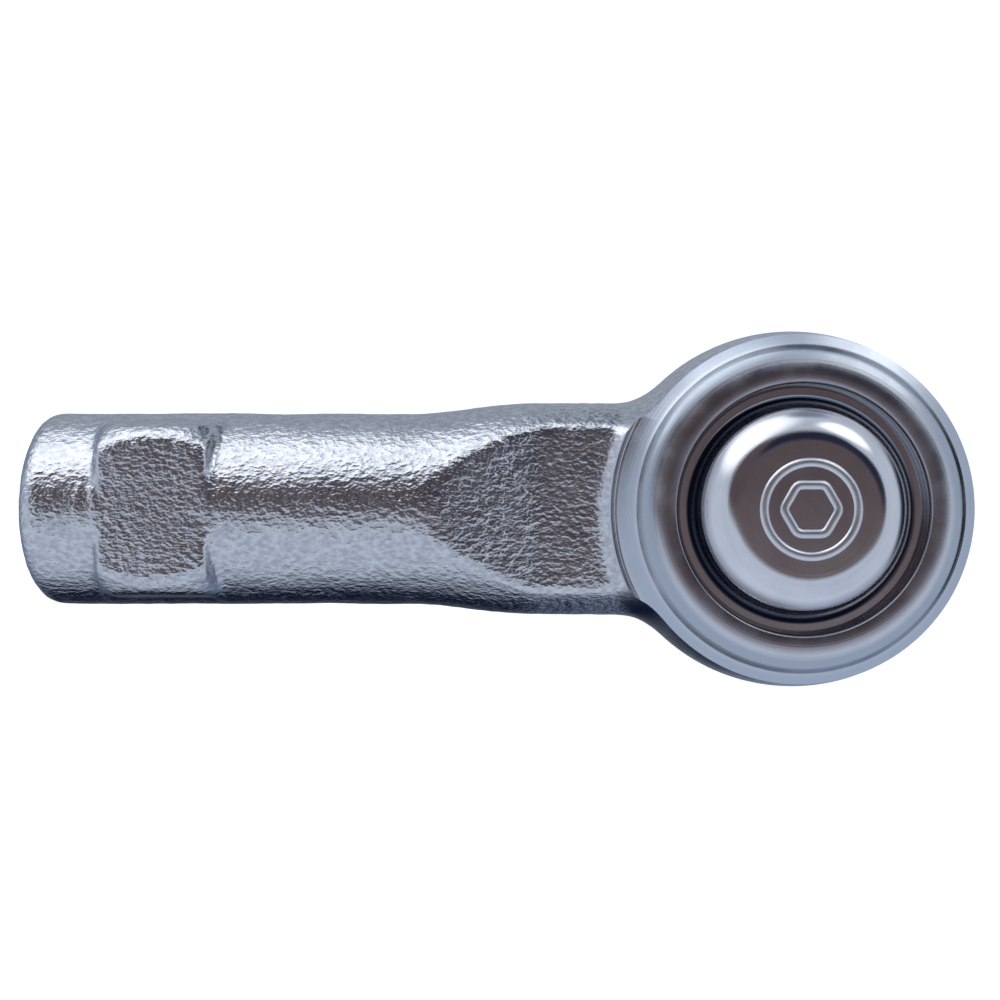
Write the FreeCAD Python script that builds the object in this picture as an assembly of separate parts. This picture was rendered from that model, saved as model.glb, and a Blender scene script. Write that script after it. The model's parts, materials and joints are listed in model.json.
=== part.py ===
"""Tie rod end with a female thread: forged housing, crimped cover, ball stud, boot, nut and pin.

Millimetres. The origin is the centre of the threaded hole's mouth. +X runs along the shank to the
ball, +Z points from the ball to the domed cover, and the stud points down -Z.
"""
import FreeCAD
import Part

import math
import os

from FreeCAD import Base

# Whole part
ROD_CENTRE = 77.0           # mouth of the thread to the ball's centre
SHANK_R = 10.0
MOUTH_ROUND = 1.2           # round on the shank's end

# Shank thread M14 x 1.5, as a plain hole at its minor diameter
THREAD_HOLE_R = 6.19
THREAD_HOLE_END = 40.0
MOUTH_CHAMFER = 0.5
DRILL_POINT = 3.2

# Block of two wrench flats, flush with the shank's crown
FLAT_HALF = 10.0            # half the width across the two flats
BLOCK_START = 7.8
BLOCK_END = 18.7
BLOCK_WALL_SLOPE = 1.0      # how far each end wall leans out from flat to centre plane
BLOCK_FLAT_W = 7.1          # half width of a flat
BLOCK_SHOULDER_W = 8.3      # half width under the corner's bevel
BLOCK_SHOULDER_Z = 9.0
BLOCK_BASE_W = 9.0          # half width where the block's side leaves the shank

# Neck between shank and head, with an inclined flat and a level flat on each side
NECK_START = 40.0
NECK_LEVEL = 51.5           # where the inclined flat becomes the level flat
NECK_FLAT_Z = 7.4
NECK_HALF_W = 11.25
NECK_FLAT_W = 8.4
NECK_FILLET = 5.0           # plan fillet between neck and head
FILLET_PART = 0.8           # share of the fillet that is round; the rest runs straight in
NECK_BURY = 11.0            # how near the ball's centre the neck's last section lies
FIRST_FLAT_ANGLE = 3.0      # half angle of the flat's first edge on the shank's circle
SECTION_STEPS = 7
FILLET_STEPS = 4
SIDE_POINTS = 6

# Socket head, radius and height from the ball's centre
HEAD_R = 18.5
HEAD_SIDE_R = 18.1
HEAD_SIDE_Z = 4.0
RIM_R = 17.1
RIM_Z = 8.55
SHOULDER_R = 15.9
SHOULDER_Z = 8.72
LIP_FOOT_R = 15.45
LIP_FOOT_Z = 9.15
LIP_TOP_R = 13.9
LIP_TOP_Z = 9.65
LIP_EDGE_R = 13.1
LIP_INNER_R = 12.3
LIP_INNER_Z = 9.05
HEAD_LOW_R = 17.4
HEAD_LOW_Z = -7.2
BOSS_R = 15.1
BOSS_TOP_Z = -9.2
GROOVE_R = 14.2
GROOVE_TOP_Z = -9.9
GROOVE_LOW_Z = -12.3
BOSS_END_Z = -13.4
BOSS_CHAMFER = 0.4

# Socket, from top to bottom
COVER_POCKET_R = 14.3
COVER_TOP_Z = 8.1
COVER_SEAT_Z = 6.5
SEAL_POCKET_R = 14.0
SEAL_POCKET_Z = 5.5
SOCKET_R = 13.0
SOCKET_FLOOR_Z = -6.6
MOUTH_R_TOP = 9.5
MOUTH_R_LOW = 12.7

# Cover plate
SLIDE_GAP = 0.05            # gap between pieces that fit in each other
DOME_FLAT_R = 6.4
DOME_ROUND = 4.2
DOME_ROUND_Z = 7.9          # height of the dome round's centre
PLATE_T = 1.6
DOME_FOOT_R = 11.15
DOME_FOOT_Z = 8.25
EMBLEM_H = 0.25
EMBLEM_RING_R = 4.8
EMBLEM_LINE = 0.6
EMBLEM_HEX_R = 2.9

# Ball and bearing seats
BALL_R = 10.0
BALL_FLAT_Z = 7.8
BALL_GAP = 0.05
SEAT_SPLIT_TOP = 0.1
SEAT_SPLIT_LOW = -0.1
SEAT_STEP_Z = 6.4
SEAT_CROWN_R = 8.7
SEAT_CROWN_Z = 8.3
SEAT_LIP_Z = -4.9
SEAT_MOUTH_R = 9.35
GREASE_GROOVES = 6
GREASE_GROOVE_W = 1.2
GREASE_GROOVE_D = 0.6
GREASE_GROOVE_TURN = 15.0   # angle of the first groove from +X

# Wave spring
SPRING_IN_R = 6.5
SPRING_OUT_R = 7.9
SPRING_T = 0.45
SPRING_WAVES = 4
SPRING_POINTS = 10          # points on each wave

# Stud, heights from the ball's centre
NECK_R = 5.5
FLARE_TOP_Z = -18.0
LAND_TOP_Z = -20.5
LAND_R = 7.4
TAPER_TOP_Z = -25.0
TAPER_TOP_R = 7.15
TAPER_END_Z = -41.0
TAPER_RATIO = 1.0 / 8.0     # change of diameter over length
STUD_THREAD_R = 5.95
STUD_END_Z = -60.5
STUD_CHAMFER = 1.2
PIN_HOLE_Z = -56.8
PIN_HOLE_R = 1.6

# Castle nut M12 x 1.25
NUT_TOP_Z = -44.0
NUT_HEX_H = 10.0
NUT_CROWN_H = 5.0
NUT_FLATS = 19.0
NUT_CROWN_R = 8.5
NUT_HOLE_R = 5.96
NUT_SLOTS = 6
NUT_SLOT_W = 3.5
NUT_CORNER_SLOPE = 1.7      # run of the corner bevel for each unit of its height

# Cotter pin
PIN_WIRE_R = 0.72
PIN_EYE_R = 2.0
PIN_EYE_Y = -12.0
PIN_BEND_Y = 10.6
PIN_BEND_R = 1.5
PIN_UP_LEG = 3.5
PIN_DOWN_LEG = 1.2

# Boot and its rings
BOOT_WALL = 1.3
BEAD_TOP_Z = -10.0
BEAD_LOW_Z = -12.2
BEAD_R = 16.2
RING_LARGE_Z = -11.1
RING_WIRE_R = 0.55
RING_SEAT_DEPTH = 0.5
SMALL_TOP_Z = -20.8
SMALL_R = 10.3
SMALL_RING_Z = -22.8
LIP_FLARE_R = 11.6
LIP_FLARE_Z = -25.6
COLLAR_R = 8.6
COLLAR_TOP_Z = -20.7
COLLAR_END_Z = -24.9
BOOT_GAP = 0.06

BALL_CENTRE = Base.Vector(ROD_CENTRE, 0, 0)
UP = Base.Vector(0, 0, 1)


def export(shape, node):
    """Write one node's solid or group of solids."""
    if not shape.isValid():
        raise ValueError(node + " is not a valid shape")
    shape.exportStep(os.path.join("parts", node + ".step"))


def at_ball(radius, z):
    """A point in the plane Y = 0, from a radius and a height about the ball's centre."""
    return Base.Vector(ROD_CENTRE + radius, 0, z)


def line(start, end):
    return Part.LineSegment(start, end).toShape()


def arc(start, middle, end):
    return Part.Arc(start, middle, end).toShape()


def polyline(points):
    return [line(a, b) for a, b in zip(points, points[1:])]


def spline(points):
    curve = Part.BSplineCurve()
    curve.interpolate(points)
    return curve.toShape()


def revolve(edges):
    """Turn a closed outline in the plane Y = 0 about the stud's axis."""
    face = Part.Face(Part.Wire(Part.__sortEdges__(edges)))
    return face.revolve(BALL_CENTRE, UP, 360)


def revolve_points(points):
    """Turn a closed polygon, given as (radius, height) pairs."""
    corners = [at_ball(r, z) for r, z in points]
    return revolve(polyline(corners + corners[:1]))


def on_circle(centre, radius, degrees):
    """(radius, height) of a point on a circle in the outline's plane."""
    angle = math.radians(degrees)
    return at_ball(centre[0] + radius * math.cos(angle), centre[1] + radius * math.sin(angle))


def shank():
    """The round shank, from its rounded mouth into the neck."""
    outline = [
        line(Base.Vector(0, 0, 0), Base.Vector(0, 0, SHANK_R - MOUTH_ROUND)),
        arc(
            Base.Vector(0, 0, SHANK_R - MOUTH_ROUND),
            Base.Vector(
                MOUTH_ROUND * (1 - math.sqrt(0.5)), 0, SHANK_R - MOUTH_ROUND * (1 - math.sqrt(0.5))
            ),
            Base.Vector(MOUTH_ROUND, 0, SHANK_R),
        ),
        line(Base.Vector(MOUTH_ROUND, 0, SHANK_R), Base.Vector(NECK_START, 0, SHANK_R)),
        line(Base.Vector(NECK_START, 0, SHANK_R), Base.Vector(NECK_START, 0, 0)),
        line(Base.Vector(NECK_START, 0, 0), Base.Vector(0, 0, 0)),
    ]
    face = Part.Face(Part.Wire(outline))
    return face.revolve(Base.Vector(0, 0, 0), Base.Vector(1, 0, 0), 360)


def prism(points, direction):
    wire = Part.Wire(polyline(points + points[:1]))
    return Part.Face(wire).extrude(direction)


def wrench_block():
    """Two opposite flats on one block: its cross section, cut to a tapered side outline."""
    right = [
        (BLOCK_FLAT_W, FLAT_HALF),
        (BLOCK_SHOULDER_W, BLOCK_SHOULDER_Z),
        (BLOCK_BASE_W, math.sqrt(SHANK_R**2 - BLOCK_BASE_W**2)),
    ]
    right += [(y, -z) for y, z in reversed(right)]
    section = right + [(-y, z) for y, z in reversed(right)]
    start = BLOCK_START - BLOCK_WALL_SLOPE
    end = BLOCK_END + BLOCK_WALL_SLOPE
    across = prism([Base.Vector(start, y, z) for y, z in section], Base.Vector(end - start, 0, 0))
    side = [
        (start, 0),
        (BLOCK_START, FLAT_HALF),
        (BLOCK_END, FLAT_HALF),
        (end, 0),
        (BLOCK_END, -FLAT_HALF),
        (BLOCK_START, -FLAT_HALF),
    ]
    along = prism([Base.Vector(x, -SHANK_R, z) for x, z in side], Base.Vector(0, 2 * SHANK_R, 0))
    return across.common(along)


def smooth_step(value):
    value = min(max(value, 0.0), 1.0)
    return value * value * (3 - 2 * value)


def fillet_centre_x():
    """Where the plan fillet between neck and head has its centre."""
    reach = HEAD_R + NECK_FILLET
    return ROD_CENTRE - math.sqrt(reach**2 - (NECK_HALF_W + NECK_FILLET) ** 2)


def fillet_length():
    """How far along X the plan fillet is round."""
    whole = (ROD_CENTRE - fillet_centre_x()) * NECK_FILLET / (HEAD_R + NECK_FILLET)
    return whole * FILLET_PART


def neck_half_width(x):
    """Half width of the forging at the parting plane."""
    run = x - fillet_centre_x()
    if run <= 0:
        blend = smooth_step((x - NECK_START) / (NECK_LEVEL - NECK_START))
        return SHANK_R + (NECK_HALF_W - SHANK_R) * blend
    round_run = min(run, fillet_length())
    drop = math.sqrt(NECK_FILLET**2 - round_run**2)
    return NECK_HALF_W + NECK_FILLET - drop + (run - round_run) * round_run / drop


def neck_flat_height(x):
    """Height of the flat: falling from the shank's crown, then level."""
    run = min(max((x - NECK_START) / (NECK_LEVEL - NECK_START), 0.0), 1.0)
    return SHANK_R + (NECK_FLAT_Z - SHANK_R) * run


def outline_of(right, make_side, make_top):
    """Closed neck outline from the points of its upper right side, mirrored three times."""
    x = right[0].x
    below = [Base.Vector(x, p.y, -p.z) for p in reversed(right)]
    left_low = [Base.Vector(x, -p.y, p.z) for p in reversed(below)]
    left_up = [Base.Vector(x, -p.y, p.z) for p in reversed(right)]
    edges = [
        make_top(left_up[-1], right[0]),
        make_side(right),
        make_side(below),
        make_top(below[-1], left_low[0]),
        make_side(left_low),
        make_side(left_up),
    ]
    return Part.Wire(edges)


def round_section():
    """The neck's first outline: the shank's circle, cut in the same six edges as the others."""

    def arc_at(angle):
        y = SHANK_R * math.sin(math.radians(angle))
        return Base.Vector(NECK_START, y, SHANK_R * math.cos(math.radians(angle)))

    def side(points):
        middle = (points[0] + points[-1]).multiply(0.5)
        middle = Base.Vector(0, middle.y, middle.z).normalize().multiply(SHANK_R)
        return arc(points[0], Base.Vector(NECK_START, middle.y, middle.z), points[-1])

    def top(start, end):
        crown = math.copysign(SHANK_R, start.z)
        return arc(start, Base.Vector(NECK_START, 0, crown), end)

    return outline_of([arc_at(FIRST_FLAT_ANGLE), arc_at(90)], side, top)


def neck_section(x):
    """Outline of the neck: two flats, and two sides that go from round to drafted."""
    top = neck_flat_height(x)
    blend = smooth_step((x - NECK_START) / (NECK_LEVEL - NECK_START))
    widest = neck_half_width(x)
    draft = (NECK_HALF_W - NECK_FLAT_W) / NECK_FLAT_Z

    def half_width(z):
        circle = math.sqrt(max(SHANK_R**2 - z**2, 0.0))
        drafted = widest - draft * abs(z)
        return circle + (drafted - circle) * blend

    heights = [top * (1 - i / SIDE_POINTS) for i in range(SIDE_POINTS + 1)]
    right = [Base.Vector(x, half_width(z), z) for z in heights]
    return outline_of(right, spline, line)


def neck():
    """The neck as lofts between its sections, ending inside the head."""
    step = (NECK_LEVEL - NECK_START) / SECTION_STEPS
    places = [NECK_START + step * i for i in range(1, SECTION_STEPS + 1)]
    places += [
        fillet_centre_x() + fillet_length() * i / FILLET_STEPS for i in range(FILLET_STEPS + 1)
    ]
    places.append(ROD_CENTRE - NECK_BURY)
    return Part.makeLoft([round_section()] + [neck_section(x) for x in places], True, True)


def head():
    """The socket head's outside: drafted side, turned top with its rolled lip, boss and groove."""
    lip_round = arc(
        at_ball(LIP_TOP_R, LIP_TOP_Z),
        at_ball((LIP_TOP_R + LIP_FOOT_R) / 2 + 0.15, (LIP_TOP_Z + LIP_FOOT_Z) / 2 + 0.12),
        at_ball(LIP_FOOT_R, LIP_FOOT_Z),
    )
    top = polyline(
        [
            at_ball(0, LIP_INNER_Z),
            at_ball(LIP_INNER_R, LIP_INNER_Z),
            at_ball(LIP_EDGE_R, LIP_TOP_Z),
            at_ball(LIP_TOP_R, LIP_TOP_Z),
        ]
    )
    rim = polyline(
        [at_ball(LIP_FOOT_R, LIP_FOOT_Z), at_ball(SHOULDER_R, SHOULDER_Z), at_ball(RIM_R, RIM_Z)]
    )
    sides = [
        arc(at_ball(RIM_R, RIM_Z), at_ball(HEAD_SIDE_R, HEAD_SIDE_Z), at_ball(HEAD_R, 0)),
        arc(at_ball(HEAD_R, 0), at_ball(HEAD_SIDE_R, -HEAD_SIDE_Z), at_ball(HEAD_LOW_R, HEAD_LOW_Z)),
    ]
    boss = polyline(
        [
            at_ball(HEAD_LOW_R, HEAD_LOW_Z),
            at_ball(BOSS_R, BOSS_TOP_Z),
            at_ball(BOSS_R, GROOVE_TOP_Z),
            at_ball(GROOVE_R, GROOVE_TOP_Z),
            at_ball(GROOVE_R, GROOVE_LOW_Z),
            at_ball(BOSS_R, GROOVE_LOW_Z),
            at_ball(BOSS_R, BOSS_END_Z + BOSS_CHAMFER),
            at_ball(BOSS_R - BOSS_CHAMFER, BOSS_END_Z),
            at_ball(0, BOSS_END_Z),
            at_ball(0, LIP_INNER_Z),
        ]
    )
    return revolve(top + [lip_round] + rim + sides + boss)


def socket():
    """The space inside the head, from the rolled lip down to the stud's opening."""
    above = LIP_TOP_Z + 1
    return revolve_points(
        [
            (0, above),
            (LIP_INNER_R, above),
            (LIP_INNER_R, COVER_TOP_Z),
            (COVER_POCKET_R, COVER_TOP_Z),
            (COVER_POCKET_R, COVER_SEAT_Z),
            (SEAL_POCKET_R, COVER_SEAT_Z),
            (SEAL_POCKET_R, SEAL_POCKET_Z),
            (SOCKET_R, SEAL_POCKET_Z),
            (SOCKET_R, SOCKET_FLOOR_Z),
            (MOUTH_R_TOP, SOCKET_FLOOR_Z),
            (MOUTH_R_LOW, BOSS_END_Z),
            (0, BOSS_END_Z),
        ]
    )


def thread_hole():
    """The shank's blind hole: mouth chamfer, plain wall and drill point."""
    points = [
        Base.Vector(0, 0, 0),
        Base.Vector(0, 0, THREAD_HOLE_R + MOUTH_CHAMFER),
        Base.Vector(MOUTH_CHAMFER, 0, THREAD_HOLE_R),
        Base.Vector(THREAD_HOLE_END, 0, THREAD_HOLE_R),
        Base.Vector(THREAD_HOLE_END + DRILL_POINT, 0, 0),
    ]
    face = Part.Face(Part.Wire(polyline(points + points[:1])))
    return face.revolve(Base.Vector(0, 0, 0), Base.Vector(1, 0, 0), 360)


def housing():
    blank = shank().fuse([wrench_block(), neck(), head()])
    return blank.cut([socket(), thread_hole()]).removeSplitter()


def hexagon(radius, z):
    """Closed hexagon outline with a flat facing +Y."""
    corners = [
        Base.Vector(
            ROD_CENTRE + radius * math.cos(math.radians(60 * i)),
            radius * math.sin(math.radians(60 * i)),
            z,
        )
        for i in range(6)
    ]
    return Part.Wire(polyline(corners + corners[:1]))


def emblem(z):
    """A plain raised ring round a raised hexagon outline."""
    base = BALL_CENTRE + UP * z
    ring = Part.makeCylinder(EMBLEM_RING_R, EMBLEM_H, base, UP)
    ring = ring.cut(Part.makeCylinder(EMBLEM_RING_R - EMBLEM_LINE, EMBLEM_H, base, UP))
    outer = Part.Face(hexagon(EMBLEM_HEX_R, z)).extrude(UP * EMBLEM_H)
    inner = Part.Face(hexagon(EMBLEM_HEX_R - EMBLEM_LINE, z)).extrude(UP * EMBLEM_H)
    return ring, outer.cut(inner)


def cover_plate():
    """Pressed plate: flat flange under the lip, and a dome with a round shoulder and flat top."""
    centre = (DOME_FLAT_R, DOME_ROUND_Z)
    inner_round = DOME_ROUND - PLATE_T
    crown = DOME_ROUND_Z + DOME_ROUND
    foot_angle = 10
    rim = COVER_POCKET_R - SLIDE_GAP
    outside = [
        line(at_ball(0, crown), at_ball(DOME_FLAT_R, crown)),
        arc(
            at_ball(DOME_FLAT_R, crown),
            on_circle(centre, DOME_ROUND, 50),
            on_circle(centre, DOME_ROUND, foot_angle),
        ),
    ]
    flange = polyline(
        [
            on_circle(centre, DOME_ROUND, foot_angle),
            at_ball(DOME_FOOT_R, DOME_FOOT_Z),
            at_ball(LIP_INNER_R, COVER_TOP_Z),
            at_ball(rim, COVER_TOP_Z),
            at_ball(rim, COVER_SEAT_Z),
            at_ball(DOME_FLAT_R + inner_round, COVER_SEAT_Z),
            at_ball(DOME_FLAT_R + inner_round, DOME_ROUND_Z),
        ]
    )
    inside = [
        arc(
            at_ball(DOME_FLAT_R + inner_round, DOME_ROUND_Z),
            on_circle(centre, inner_round, 45),
            at_ball(DOME_FLAT_R, crown - PLATE_T),
        ),
        line(at_ball(DOME_FLAT_R, crown - PLATE_T), at_ball(0, crown - PLATE_T)),
        line(at_ball(0, crown - PLATE_T), at_ball(0, crown)),
    ]
    return revolve(outside + flange + inside).fuse(emblem(crown)).removeSplitter()


def ring(radius, z, wire_r):
    """A round-wire ring about the stud's axis."""
    return Part.makeTorus(radius, wire_r, BALL_CENTRE + UP * z, UP)


def cover_seal_ring():
    wire_r = (COVER_SEAT_Z - SEAL_POCKET_Z) / 2
    return ring(SOCKET_R + wire_r, SEAL_POCKET_Z + wire_r, wire_r)


def wave_edge(radius, base, height):
    """A closed wavy curve about the stud's axis."""
    count = SPRING_WAVES * SPRING_POINTS
    points = []
    for i in range(count):
        angle = 2 * math.pi * i / count
        rise = height * (1 - math.cos(SPRING_WAVES * angle)) / 2
        points.append(
            Base.Vector(
                ROD_CENTRE + radius * math.cos(angle), radius * math.sin(angle), base + rise
            )
        )
    curve = Part.BSplineCurve()
    curve.interpolate(Points=points, PeriodicFlag=True)
    return curve.toShape()


def preload_spring():
    """Wave spring between the bearing's crown and the inside of the dome's shoulder."""
    reach = SPRING_OUT_R - DOME_FLAT_R
    ceiling = DOME_ROUND_Z + math.sqrt((DOME_ROUND - PLATE_T) ** 2 - reach**2)
    height = ceiling - SEAT_CROWN_Z - SPRING_T
    low_in = wave_edge(SPRING_IN_R, SEAT_CROWN_Z, height)
    low_out = wave_edge(SPRING_OUT_R, SEAT_CROWN_Z, height)
    top_in = wave_edge(SPRING_IN_R, SEAT_CROWN_Z + SPRING_T, height)
    top_out = wave_edge(SPRING_OUT_R, SEAT_CROWN_Z + SPRING_T, height)
    pairs = [(low_in, low_out), (low_out, top_out), (top_out, top_in), (top_in, low_in)]
    shell = Part.makeShell([Part.makeRuledSurface(a, b) for a, b in pairs])
    return Part.makeSolid(shell)


def grease_grooves():
    """Bars that cut the grease grooves into a seat's inner face."""
    depth = BALL_R + GREASE_GROOVE_D
    ball = Part.makeSphere(depth, BALL_CENTRE)
    bars = []
    for i in range(GREASE_GROOVES // 2):
        box = Part.makeBox(
            2 * depth,
            GREASE_GROOVE_W,
            2 * BALL_R,
            Base.Vector(ROD_CENTRE - depth, -GREASE_GROOVE_W / 2, -BALL_R),
        )
        box.rotate(BALL_CENTRE, UP, GREASE_GROOVE_TURN + 360 * i / GREASE_GROOVES)
        bars.append(box.common(ball))
    return bars


def seat(inner_low, inner_high, outline):
    """A bearing seat: a sphere's zone between two heights, and the rest of its outline."""
    hollow = BALL_R + BALL_GAP

    def on_hollow(z):
        return at_ball(math.sqrt(hollow**2 - z**2), z)

    corners = [on_hollow(inner_high)] + [at_ball(r, z) for r, z in outline]
    corners.append(on_hollow(inner_low))
    zone = arc(corners[-1], on_hollow((inner_low + inner_high) / 2), corners[0])
    return revolve(polyline(corners) + [zone]).cut(grease_grooves())


def upper_bearing_seat():
    outer = SOCKET_R - SLIDE_GAP
    outline = [
        (SEAT_CROWN_R, SEAT_CROWN_Z),
        (SEAT_CROWN_R, SEAT_STEP_Z),
        (outer, SEAT_STEP_Z),
        (outer, SEAT_SPLIT_TOP),
    ]
    return seat(SEAT_SPLIT_TOP, SEAT_CROWN_Z, outline)


def lower_bearing_seat():
    outer = SOCKET_R - SLIDE_GAP
    outline = [
        (outer, SEAT_SPLIT_LOW),
        (outer, SOCKET_FLOOR_Z),
        (SEAT_MOUTH_R, SOCKET_FLOOR_Z),
    ]
    return seat(SEAT_LIP_Z, SEAT_SPLIT_LOW, outline)


def ball_stud():
    """Ball with a flat top, neck, flare, boot land, taper, thread and end chamfer."""
    flat_r = math.sqrt(BALL_R**2 - BALL_FLAT_Z**2)
    neck_top = -math.sqrt(BALL_R**2 - NECK_R**2)
    taper_end_r = TAPER_TOP_R - (TAPER_TOP_Z - TAPER_END_Z) * TAPER_RATIO / 2
    ball = [
        line(at_ball(0, BALL_FLAT_Z), at_ball(flat_r, BALL_FLAT_Z)),
        arc(at_ball(flat_r, BALL_FLAT_Z), at_ball(BALL_R, 0), at_ball(NECK_R, neck_top)),
    ]
    shaft = polyline(
        [
            at_ball(NECK_R, neck_top),
            at_ball(NECK_R, FLARE_TOP_Z),
            at_ball(LAND_R, LAND_TOP_Z),
            at_ball(LAND_R, TAPER_TOP_Z),
            at_ball(TAPER_TOP_R, TAPER_TOP_Z),
            at_ball(taper_end_r, TAPER_END_Z),
            at_ball(STUD_THREAD_R, TAPER_END_Z),
            at_ball(STUD_THREAD_R, STUD_END_Z + STUD_CHAMFER),
            at_ball(STUD_THREAD_R - STUD_CHAMFER, STUD_END_Z),
            at_ball(0, STUD_END_Z),
            at_ball(0, BALL_FLAT_Z),
        ]
    )
    hole = Part.makeCylinder(
        PIN_HOLE_R,
        2 * LAND_R,
        Base.Vector(ROD_CENTRE, -LAND_R, PIN_HOLE_Z),
        Base.Vector(0, 1, 0),
    )
    return revolve(ball + shaft).cut(hole)


def castle_nut():
    """Hexagon with bevelled corners, a round crown with slots, and a plain hole for the thread."""
    corner_r = NUT_FLATS / 2 / math.cos(math.radians(30))
    hex_low = NUT_TOP_Z - NUT_HEX_H
    bevel = (corner_r - NUT_FLATS / 2) / NUT_CORNER_SLOPE
    body = Part.Face(hexagon(corner_r, hex_low)).extrude(UP * NUT_HEX_H)
    limit = revolve_points(
        [
            (0, NUT_TOP_Z),
            (NUT_FLATS / 2, NUT_TOP_Z),
            (corner_r, NUT_TOP_Z - bevel),
            (corner_r, hex_low + bevel),
            (NUT_FLATS / 2, hex_low),
            (0, hex_low),
        ]
    )
    crown_low = hex_low - NUT_CROWN_H
    crown = Part.makeCylinder(NUT_CROWN_R, NUT_CROWN_H, BALL_CENTRE + UP * crown_low, UP)
    cuts = [
        Part.makeCylinder(
            NUT_HOLE_R, NUT_HEX_H + NUT_CROWN_H, BALL_CENTRE + UP * crown_low, UP
        )
    ]
    for i in range(NUT_SLOTS // 2):
        slot = Part.makeBox(
            2 * corner_r,
            NUT_SLOT_W,
            NUT_CROWN_H,
            Base.Vector(ROD_CENTRE - corner_r, -NUT_SLOT_W / 2, crown_low),
        )
        slot.rotate(BALL_CENTRE, UP, 30 + 60 * i)
        cuts.append(slot)
    return body.common(limit).fuse(crown).cut(cuts).removeSplitter()


def pin_point(y, z):
    return Base.Vector(ROD_CENTRE, y, z)


def bend(corner_y, leg_z, side):
    """Quarter bend of a pin leg, turning from +Y towards the given side of Z."""
    turn = PIN_BEND_R * math.sqrt(0.5)
    return arc(
        pin_point(corner_y, leg_z),
        pin_point(corner_y + turn, leg_z + side * (PIN_BEND_R - turn)),
        pin_point(corner_y + PIN_BEND_R, leg_z + side * PIN_BEND_R),
    )


def cotter_pin():
    """One wire: a leg bent down, the eye, and a leg bent up beside the nut."""
    gap = PIN_WIRE_R + 0.01
    upper = PIN_HOLE_Z + gap
    lower = PIN_HOLE_Z - gap
    bend_end_y = PIN_BEND_Y + PIN_BEND_R
    eye_open = math.asin(gap / PIN_EYE_R)
    eye_join = PIN_EYE_Y + PIN_EYE_R * math.cos(eye_open)
    path = [
        line(pin_point(bend_end_y, upper + PIN_BEND_R + PIN_UP_LEG),
             pin_point(bend_end_y, upper + PIN_BEND_R)),
        bend(PIN_BEND_Y, upper, 1),
        line(pin_point(PIN_BEND_Y, upper), pin_point(eye_join, upper)),
        arc(
            pin_point(eye_join, upper),
            pin_point(PIN_EYE_Y - PIN_EYE_R, PIN_HOLE_Z),
            pin_point(eye_join, lower),
        ),
        line(pin_point(eye_join, lower), pin_point(PIN_BEND_Y, lower)),
        bend(PIN_BEND_Y, lower, -1),
        line(pin_point(bend_end_y, lower - PIN_BEND_R),
             pin_point(bend_end_y, lower - PIN_BEND_R - PIN_DOWN_LEG)),
    ]
    wire = Part.Wire(Part.__sortEdges__(path))
    start = pin_point(bend_end_y, upper + PIN_BEND_R + PIN_UP_LEG)
    circle = Part.Wire(Part.makeCircle(PIN_WIRE_R, start, UP))
    return wire.makePipeShell([circle], True, False, 2)


def boot_collar_ring():
    """Collar between the boot's small end and the stud's land."""
    return revolve_points(
        [
            (LAND_R + SLIDE_GAP, COLLAR_TOP_Z),
            (COLLAR_R, COLLAR_TOP_Z),
            (COLLAR_R, COLLAR_END_Z),
            (LAND_R + SLIDE_GAP, COLLAR_END_Z),
        ]
    )


def boot_outer_side():
    """Outside of the boot from the large bead to the small end's ring seat."""
    return [
        at_ball(BEAD_R, BEAD_LOW_Z),
        at_ball(16.6, -13.7),
        at_ball(16.7, -15.2),
        at_ball(15.9, -17.2),
        at_ball(13.8, -18.6),
        at_ball(12.0, -19.4),
        at_ball(11.0, -20.1),
        at_ball(SMALL_R, SMALL_TOP_Z),
    ]


def boot_inner_side():
    """Inside of the boot, a wall's thickness from its outside."""
    return [
        at_ball(COLLAR_R + BOOT_GAP, SMALL_TOP_Z + 0.3),
        at_ball(9.6, -19.4),
        at_ball(11.3, -18.3),
        at_ball(13.2, -17.4),
        at_ball(14.8, -16.3),
        at_ball(15.4, -15.1),
        at_ball(BEAD_R - BOOT_WALL + 0.4, -13.7),
        at_ball(BOSS_R + BOOT_GAP, BEAD_LOW_Z - 0.5),
    ]


def dust_boot():
    """Rubber boot: large bead in the housing's groove, one fold, small end and knuckle lip."""
    outer = boot_outer_side()
    inner = boot_inner_side()
    seat_large = BEAD_R - RING_SEAT_DEPTH
    seat_small = SMALL_R - RING_SEAT_DEPTH
    half = RING_WIRE_R + BOOT_GAP
    top = polyline(
        [
            inner[-1],
            at_ball(BOSS_R + BOOT_GAP, GROOVE_LOW_Z + BOOT_GAP),
            at_ball(GROOVE_R + BOOT_GAP, GROOVE_LOW_Z + BOOT_GAP),
            at_ball(GROOVE_R + BOOT_GAP, BEAD_TOP_Z),
            at_ball(BEAD_R, BEAD_TOP_Z),
            at_ball(BEAD_R, RING_LARGE_Z + half),
            at_ball(seat_large, RING_LARGE_Z + half),
            at_ball(seat_large, RING_LARGE_Z - half),
            at_ball(BEAD_R, RING_LARGE_Z - half),
            outer[0],
        ]
    )
    low = polyline(
        [
            outer[-1],
            at_ball(SMALL_R, SMALL_RING_Z + half),
            at_ball(seat_small, SMALL_RING_Z + half),
            at_ball(seat_small, SMALL_RING_Z - half),
            at_ball(SMALL_R, SMALL_RING_Z - half),
            at_ball(SMALL_R, LIP_FLARE_Z + 1.4),
            at_ball(LIP_FLARE_R, LIP_FLARE_Z + 0.4),
            at_ball(LIP_FLARE_R, LIP_FLARE_Z),
            at_ball(COLLAR_R + BOOT_GAP, COLLAR_END_Z),
            inner[0],
        ]
    )
    return revolve(top + [spline(outer)] + low + [spline(inner)])


def boot_ring_large():
    return ring(
        BEAD_R - RING_SEAT_DEPTH + RING_WIRE_R + BOOT_GAP, RING_LARGE_Z, RING_WIRE_R
    )


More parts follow.
